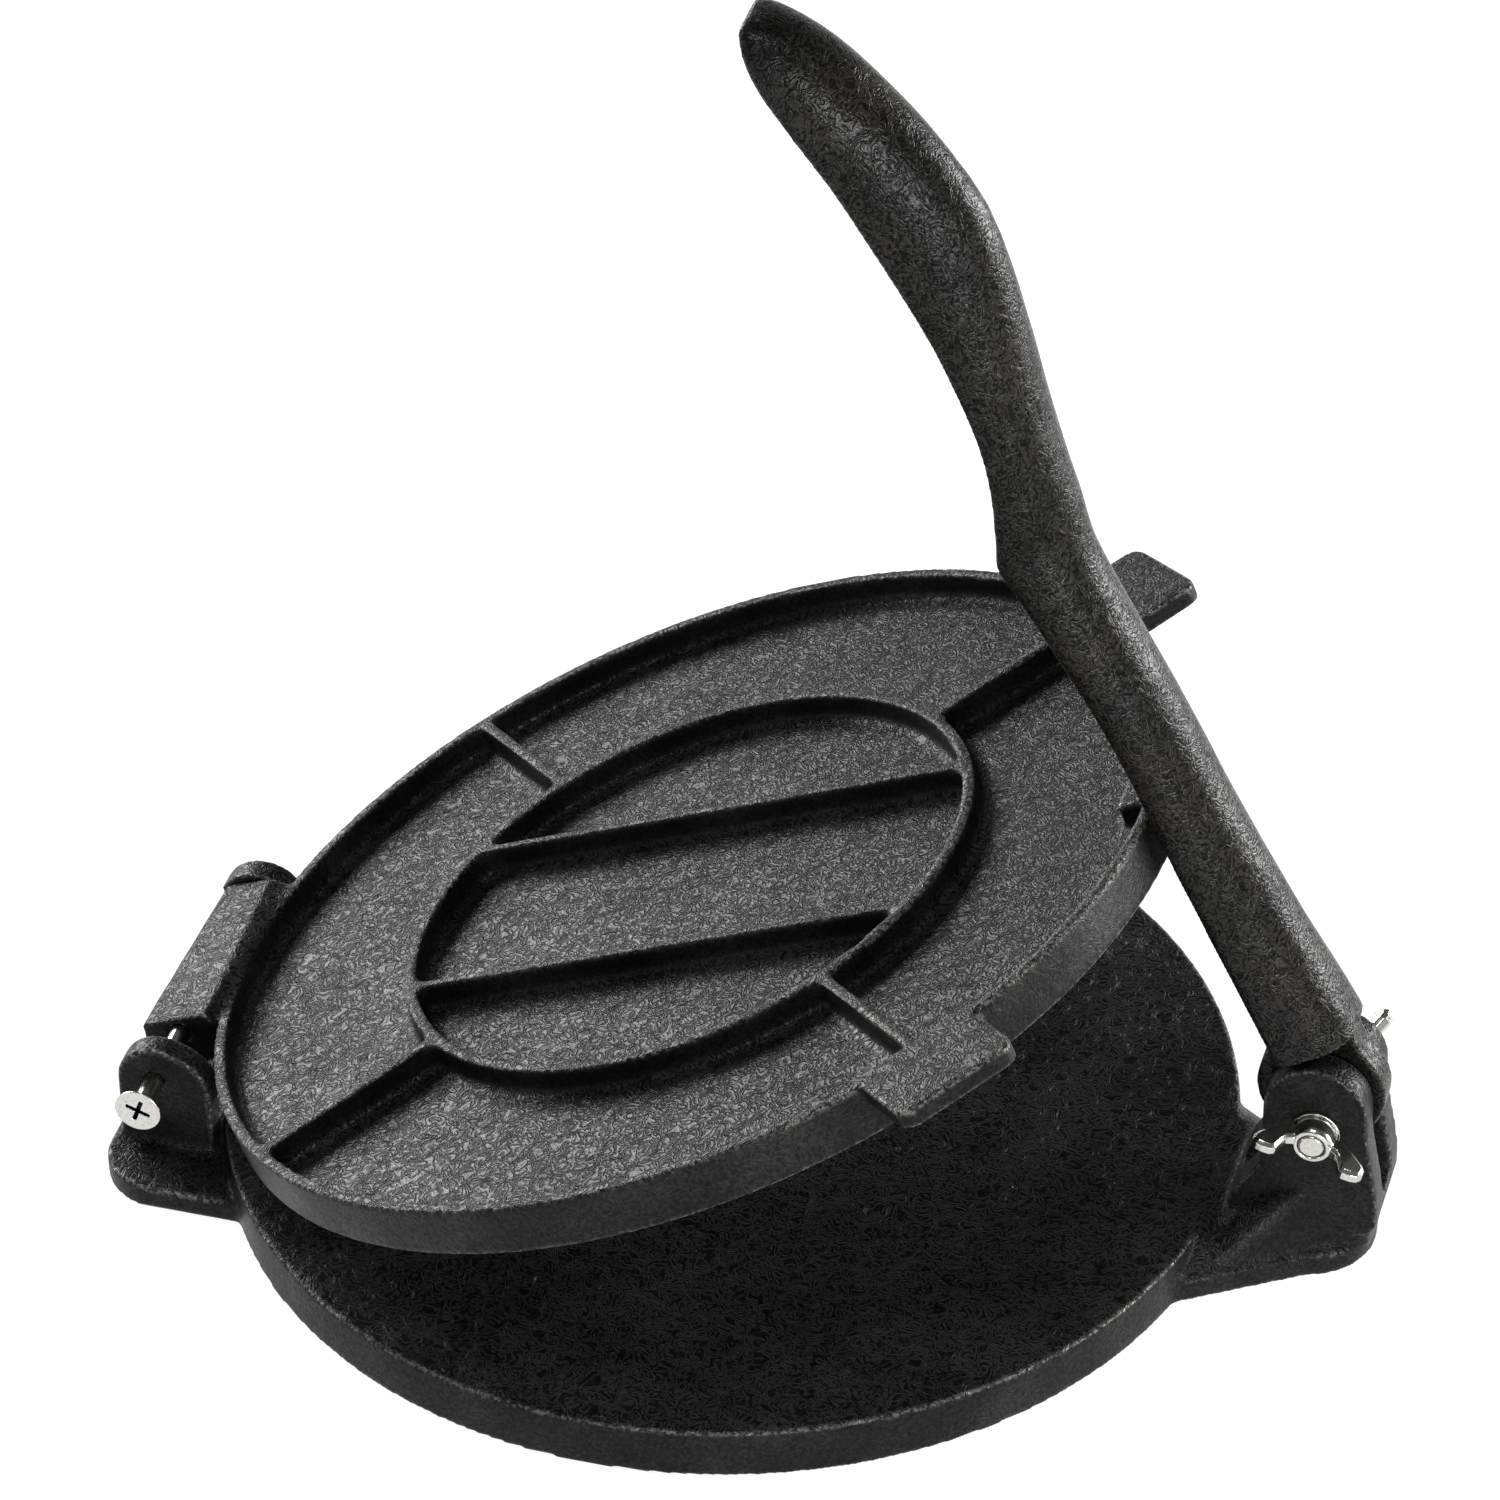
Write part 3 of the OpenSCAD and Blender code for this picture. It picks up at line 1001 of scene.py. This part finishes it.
@dataclass
class TopPlate(Piece):
    """The ribbed top plate with its lift tabs and hinge block.

    Attributes:
        hinge: the hinge axis at rest, mm.
        opened: how far the plate stands open at rest, degrees.
        ring: inner radius of the round rib, mm.
        wall: width of the rim and the round rib, mm.
        rib: width of the straight ribs, mm.
        rim: inner radius of the rim, mm.
        cross: Y of the two ribs across the middle, mm.
        diagonals: directions of the four ribs between the round rib and the rim, degrees.
        floor: Z of the pocket's floor with the plate closed, mm.
        top: Z of the rib tops with the plate closed, mm.
        fillet: leg of the fillets where ribs meet, mm.
        hollow: how far a fillet fills its corner, where 1.0 is a flat face.
        root: how far a fillet reaches into the walls, mm.
        sunk: how far a fillet reaches into the floor, mm.
        shy: how far a fillet stops below the rib tops, mm.
    """

    node: str = "top_plate"
    body: str = "top_plate"
    slot: Slot = Slot.CAST_IRON
    finish: SeasonedIron = PLATE_IRON
    moulding: Moulding = Moulding(grid=0.7, filling=18, faces=150000, uneven=0.1)
    hinge: tuple[float, float, float] = (-138.1, 0.0, 26.5)
    opened: float = 22.5
    ring: float = 74.0
    wall: float = 3.4
    rib: float = 3.0
    rim: float = 126.6
    cross: tuple[float, float] = (-29.0, 28.5)
    diagonals: tuple[float, ...] = (45.0, 135.0, 225.0, 315.0)
    floor: float = 21.0
    top: float = 28.0
    fillet: float = 3.4
    hollow: float = 0.62
    root: float = 0.5
    sunk: float = 0.6
    shy: float = 0.35

    def settle(self) -> Matrix:
        """Gives the turn that closes the plate, in mm."""
        return turn_about(self.hinge, self.opened)

    def add_fillet(self, solid: Solid, corner: Vector, one: Vector, two: Vector) -> None:
        """Adds a fillet in the corner between two walls.

        Args:
            solid: the drawing.
            corner: where the walls meet, in X and Y.
            one: direction along the first wall.
            two: direction along the second wall.
        """
        near = corner + one * self.fillet
        far = corner + two * self.fillet
        middle = (near + corner + two * self.fillet) * 0.5
        middle = middle * self.hollow + corner * (1.0 - self.hollow)
        outline = [corner - (one + two) * self.root, near, middle, far]
        area = sum(a.x * b.y - b.x * a.y for a, b in zip(outline, outline[1:] + outline[:1]))
        if area < 0.0:
            outline.reverse()
        solid.add_prism(
            [(p.x, p.y) for p in outline], self.floor - self.sunk, self.top - self.shy
        )

    def add_detail(self, solid: Solid) -> None:
        """Adds the fillets where the ribs meet the round rib and the rim.

        Args:
            solid: the drawing, with the plate closed.
        """
        half = self.rib / 2.0
        for y in self.cross:
            for side in (-1.0, 1.0):
                for edge in (-1.0, 1.0):
                    v = y + edge * half
                    x = side * math.sqrt(self.ring**2 - v**2)
                    round_way = Vector((-v, x)).normalized()
                    if round_way.y * edge < 0.0:
                        round_way.negate()
                    self.add_fillet(solid, Vector((x, v)), Vector((-side, 0.0)), round_way)
        for degrees in self.diagonals:
            out = Vector((math.cos(math.radians(degrees)), math.sin(math.radians(degrees))))
            across = Vector((-out.y, out.x))
            for edge in (-1.0, 1.0):
                for radius, way in ((self.ring + self.wall, 1.0), (self.rim, -1.0)):
                    reach = math.sqrt(radius**2 - half**2)
                    corner = out * reach + across * (edge * half)
                    self.add_fillet(solid, corner, out * way, across * edge)


@dataclass
class Lever(Piece):
    """The press lever with its tongue and swelled grip."""

    node: str = "lever"
    body: str = "lever"
    slot: Slot = Slot.CAST_IRON
    finish: SeasonedIron = LEVER_IRON
    moulding: Moulding = Moulding(grid=0.7, uneven=0.2, faces=90000)


@dataclass
class HingeScrew(Piece):
    """The countersunk screw with a cross slot that the top plate hangs on.

    Attributes:
        axis: X and Z of the screw's axis, mm.
        face: Y of the head's face, mm.
        slot_reach: half length of the cross slot, mm.
        slot_depth: depth of the cross slot, mm.
        darkening: depth at which the painted shade starts and the further depth at which it is
            full, mm.
    """

    node: str = "hinge_screw"
    body: str = "hinge_screw"
    slot: Slot = Slot.PLATED_STEEL
    finish: BrightZinc = ZINC
    moulding: Moulding = Moulding(grid=0.16, rounding=1, filling=0, faces=60000)
    axis: tuple[float, float] = (-138.1, 26.5)
    face: float = -62.8
    slot_reach: float = 3.5
    slot_depth: float = 2.6
    darkening: tuple[float, float] = (0.12, 0.25)

    def recesses(self, place: np.ndarray) -> np.ndarray | None:
        """Paints shade on the walls and the floor of the cross slot, darker with depth.

        Args:
            place: the points, in mm at rest.

        Returns:
            How much painted shade darkens each point, from 0 to 1.
        """
        out = np.hypot(place[:, 0] - self.axis[0], place[:, 2] - self.axis[1])
        depth = place[:, 1] - self.face
        inside = (out < self.slot_reach) & (depth < self.slot_depth)
        return np.clip((depth - self.darkening[0]) / self.darkening[1], 0.0, 1.0) * inside


@dataclass
class Winged(Piece):
    """A round hub with two wings, on the lever's pivot axis.

    Attributes:
        seat: the middle of the clamping face, mm.
        outward: 1.0 if the hub grows along +Y, or -1.0 along -Y.
        turn: turn of the wings about the Y direction, degrees.
        thick: thickness of a wing, mm.
        chamfer: width of the bright chamfer round a wing, mm.
        wing: outline of a wing, by distance from the axis and from the clamping face, mm.
        hub: the hub's section, by radius and distance from the clamping face, mm.
        shank: length of the bolt behind the clamping face, mm, or nothing.
        shank_radius: radius of the bolt, mm.
        tip: chamfer of the bolt's end, mm.
        buried: how far the bolt reaches into the hub, mm.
        sides: number of sides round the hub and round the bolt.
        groove: inner and outer radius of the groove in the hub's end, mm.
        groove_at: its distances from the clamping face, mm.
        darkening: how dark the painted shade in the groove is, from 0 to 1.
    """

    node: str = "wing_bolt"
    body: str = "wing_bolt"
    slot: Slot = Slot.PLATED_STEEL
    finish: BrightZinc = ZINC
    moulding: Moulding = Moulding(grid=0.15, rounding=2, filling=4, faces=60000)
    seat: tuple[float, float, float] = (154.5, -14.76, 44.5)
    outward: float = -1.0
    turn: float = 12.0
    thick: float = 3.7
    chamfer: float = 0.9
    wing: tuple[tuple[float, float], ...] = (
        (3.4, 0.7), (7.0, 1.1), (10.4, 3.8), (13.4, 7.0), (14.2, 8.5), (14.1, 10.2),
        (13.1, 11.4), (11.4, 11.8), (9.2, 11.7), (8.1, 10.9), (7.2, 8.4), (6.2, 6.1),
        (3.4, 4.7),
    )
    hub: tuple[tuple[float, float], ...] = (
        (0.0, 0.0), (4.9, 0.0), (5.3, 0.4), (5.3, 4.0), (5.1, 4.7), (4.6, 5.3), (4.0, 5.5),
        (3.6, 5.3), (3.5, 4.7), (3.25, 4.7), (3.15, 5.2), (2.8, 5.5), (0.0, 5.6),
    )
    shank: float | None = 36.6
    shank_radius: float = 3.0
    tip: float = 0.7
    buried: float = 1.0
    sides: tuple[int, int] = (96, 64)
    groove: tuple[float, float] = (3.05, 3.75)
    groove_at: tuple[float, float] = (3.5, 5.1)
    darkening: float = 0.85

    def draw(self, frame: dict) -> Mesh:
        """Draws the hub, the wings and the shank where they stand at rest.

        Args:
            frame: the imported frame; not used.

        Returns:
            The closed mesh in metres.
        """
        solid = Solid()
        solid.add_lathe(list(self.hub), self.sides[0])
        if self.shank is not None:
            r = self.shank_radius
            end = -self.shank
            turned = [(0.0, end), (r - self.tip, end), (r, end + self.tip)]
            turned += [(r, self.buried), (0.0, self.buried)]
            solid.add_lathe(turned, self.sides[1])
        upright = Matrix.Rotation(math.radians(90.0), 4, "X")
        for degrees in (0.0, 180.0):
            verts = solid.add_prism(
                list(self.wing), -self.thick / 2.0, self.thick / 2.0, self.chamfer
            )
            solid.move(verts, Matrix.Rotation(math.radians(degrees), 4, "Z") @ upright)
        a = math.radians(self.turn)
        across = Vector((math.cos(a), 0.0, -math.sin(a)))
        out = Vector((0.0, self.outward, 0.0))
        side = out.cross(across)
        frame_of = Matrix((across, side, out)).transposed().to_4x4()
        solid.move(solid.shape.verts[:], Matrix.Translation(Vector(self.seat)) @ frame_of)
        return solid.mesh(self.node + "_hard")

    def recesses(self, place: np.ndarray) -> np.ndarray | None:
        """Paints shade in the groove in the hub's end.

        Args:
            place: the points, in mm at rest.

        Returns:
            How much painted shade darkens each point, from 0 to 1.
        """
        away = place - np.array(self.seat)
        out = np.hypot(away[:, 0], away[:, 2])
        high = away[:, 1] * self.outward
        groove = (out > self.groove[0]) & (out < self.groove[1])
        groove &= (high > self.groove_at[0]) & (high < self.groove_at[1])
        return groove.astype(float) * self.darkening


@dataclass
class Washer(Piece):
    """A plain flat washer with the rounded edge of a stamping."""

    node: str = "near_washer"
    body: str = "wing_bolt"
    slot: Slot = Slot.PLATED_STEEL
    finish: BrightZinc = ZINC
    moulding: Moulding = Moulding(grid=0.12, rounding=2, filling=1, faces=16000)


# ------------------------------------------------------------------ the studio


@dataclass(frozen=True)
class SoftBox:
    """A square of soft light that faces the press.

    Attributes:
        name: the lamp's name.
        place: where it hangs, metres.
        size: its width and height, metres.
        power: its strength, watts.
        aim: the point it faces, metres.
    """

    name: str
    place: tuple[float, float, float]
    size: tuple[float, float]
    power: float
    aim: tuple[float, float, float] = (0.0, 0.0, 0.05)

    def hang(self) -> None:
        """Adds the lamp to the scene."""
        lamp = bpy.data.lights.new(self.name, "AREA")
        lamp.shape = "RECTANGLE"
        lamp.size, lamp.size_y = self.size
        lamp.energy = self.power
        made = add_object(self.name, lamp)
        made.location = self.place
        away = Vector(self.place) - Vector(self.aim)
        made.rotation_euler = away.to_track_quat("Z", "Y").to_euler()


@dataclass(frozen=True)
class Studio:
    """A pale floor, a white surround, soft boxes and the camera.

    Attributes:
        azimuth: camera's turn about the upright axis, degrees.
        elevation: camera's height angle, degrees.
        roll: camera's roll, degrees.
        distance: camera's distance, metres.
        slide: camera's offset right and up in its own plane, metres.
        focal: focal length in pixels of the full frame.
        room: half the floor's width, metres.
        floor_tone: the floor's colour as it lights the press.
        seen_tone: its colour as it is seen, which keeps the shadow.
        seen_glow: its glow as it is seen, which brings it to white.
        fill: strength of the surround as it lights the press.
        mirrored: strength of the surround in a mirror, low down and overhead.
        heights: upward slant of the rays between which that strength falls.
        lamps: the soft boxes.
    """

    azimuth: float = 16.546
    elevation: float = 37.353
    roll: float = -0.959
    distance: float = 1.7592
    slide: tuple[float, float] = (0.004374, 0.097127)
    focal: float = 6834.1
    room: float = 4.0
    floor_tone: str = "#9a9a9a"
    seen_tone: str = "#8c8c8c"
    seen_glow: float = 0.88
    fill: float = 0.12
    mirrored: tuple[float, float] = (0.9, 0.1)
    heights: tuple[float, float] = (0.05, 0.45)
    lamps: tuple[SoftBox, ...] = (
        SoftBox("left_back_box", (-1.65, 1.05, 0.72), (1.3, 1.0), 62.0),
        SoftBox("right_back_box", (1.75, 0.95, 0.36), (1.5, 0.6), 78.0),
        SoftBox("front_box", (1.0, -1.8, 0.34), (0.75, 0.45), 25.0),
        SoftBox("top_box", (0.05, -0.75, 2.0), (0.7, 0.5), 14.0),
    )

    def place_camera(self) -> None:
        """Adds the camera."""
        az, el, roll = (math.radians(v) for v in (self.azimuth, self.elevation, self.roll))
        back = Vector((math.sin(az) * math.cos(el), -math.cos(az) * math.cos(el), math.sin(el)))
        right = Vector((math.cos(az), math.sin(az), 0.0))
        up = back.cross(right)
        across = right * math.cos(roll) + up * math.sin(roll)
        rise = -right * math.sin(roll) + up * math.cos(roll)
        place = back * self.distance + across * self.slide[0] + rise * self.slide[1]
        lens = bpy.data.cameras.new("camera")
        lens.sensor_width = SENSOR
        lens.sensor_fit = "HORIZONTAL"
        lens.lens = self.focal / FRAME_PIXELS * SENSOR
        lens.clip_start = 0.05
        lens.clip_end = 50.0
        made = add_object("camera", lens)
        made.matrix_world = Matrix(
            (
                (across.x, rise.x, back.x, place.x),
                (across.y, rise.y, back.y, place.y),
                (across.z, rise.z, back.z, place.z),
                (0.0, 0.0, 0.0, 1.0),
            )
        )
        bpy.context.scene.camera = made

    @staticmethod
    def ray_kinds(tree: NodeTree) -> tuple[NodeSocket, NodeSocket]:
        """Adds nodes that tell the camera's rays and those that metal and glass send on.

        Args:
            tree: the floor's or the world's node tree.

        Returns:
            The socket that is 1 for the camera's rays, and the one that is 1 for the others.
        """
        path = add_node(tree, "ShaderNodeLightPath")
        sent_on = add_node(
            tree, "ShaderNodeMath", {"operation": "MAXIMUM"},
            {0: path.outputs["Is Glossy Ray"], 1: path.outputs["Is Transmission Ray"]},
        )
        return path.outputs["Is Camera Ray"], sent_on.outputs[0]

    def lay_floor(self) -> None:
        """Adds the pale floor, which shows as white and keeps the object's shadow."""
        half = self.room
        mesh = bpy.data.meshes.new("floor")
        mesh.from_pydata(
            [(-half, -half, 0.0), (half, -half, 0.0), (half, half, 0.0), (-half, half, 0.0)],
            [],
            [(0, 1, 2, 3)],
        )
        floor = add_object("floor", mesh)
        made, tree = blank_material("painted_studio_floor")
        seen, sent_on = self.ray_kinds(tree)
        shown = add_node(tree, "ShaderNodeMath", {"operation": "MAXIMUM"}, {0: seen, 1: sent_on})
        matt = add_node(tree, "ShaderNodeBsdfDiffuse", sockets={0: linear(self.floor_tone)})
        pale = add_node(tree, "ShaderNodeBsdfDiffuse", sockets={0: linear(self.seen_tone)})
        glow = add_node(tree, "ShaderNodeEmission", sockets={0: linear(WHITE), 1: self.seen_glow})
        white = add_node(
            tree, "ShaderNodeAddShader", sockets={0: pale.outputs[0], 1: glow.outputs[0]}
        )
        mixed = add_node(
            tree,
            "ShaderNodeMixShader",
            sockets={0: shown.outputs[0], 1: matt.outputs[0], 2: white.outputs[0]},
        )
        add_node(tree, "ShaderNodeOutputMaterial", sockets={0: mixed.outputs[0]})
        mesh.materials.append(made)

    def fill_world(self) -> None:
        """Adds the white surround, which lights the press only dimly."""
        world = bpy.data.worlds.new("surround")
        world.use_nodes = True
        tree = world.node_tree
        tree.nodes.clear()
        way = add_node(tree, "ShaderNodeTexCoord")
        height = add_node(tree, "ShaderNodeSeparateXYZ", sockets={0: way.outputs["Generated"]})
        # The white surround ends overhead, where the room is dim.
        mirrored = add_node(
            tree,
            "ShaderNodeMapRange",
            sockets={"Value": height.outputs["Z"],
                     "From Min": self.heights[0], "From Max": self.heights[1],
                     "To Min": self.mirrored[0], "To Max": self.mirrored[1]},
        )
        seen, sent_on = self.ray_kinds(tree)
        unseen = add_node(
            tree,
            "ShaderNodeMapRange",
            sockets={"Value": sent_on, "To Min": self.fill, "To Max": mirrored.outputs[0]},
        )
        strength = add_node(
            tree,
            "ShaderNodeMapRange",
            sockets={"Value": seen, "To Min": unseen.outputs[0], "To Max": 1.0},
        )
        sky = add_node(
            tree,
            "ShaderNodeBackground",
            sockets={0: linear(WHITE), 1: strength.outputs[0]},
        )
        add_node(tree, "ShaderNodeOutputWorld", sockets={0: sky.outputs[0]})
        bpy.context.scene.world = world

    def build(self) -> None:
        """Adds everything round the press."""
        self.place_camera()
        self.lay_floor()
        self.fill_world()
        for lamp in self.lamps:
            lamp.hang()
        bpy.context.scene.view_settings.view_transform = "Standard"


def main() -> None:
    """Builds the press and its studio in order."""
    logging.basicConfig(level=logging.INFO, format="%(name)s: %(message)s")
    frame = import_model()
    Studio().build()
    finishes: dict[str, Material] = {}
    pieces = (
        Base(),
        TopPlate(),
        Lever(),
        HingeScrew(),
        Winged(),
        Washer(),
        Winged(
            node="wing_nut",
            body="wing_nut",
            seat=(154.5, 14.76, 44.5),
            outward=1.0,
            turn=-42.0,
            shank=None,
        ),
        Washer(node="far_washer", body="wing_nut"),
    )
    for piece in pieces:
        made = piece.build(frame, finishes)
        LOG.info("%s: %d faces on %s", made.name, len(made.data.polygons), piece.body)


if __name__ == "__main__":
    main()
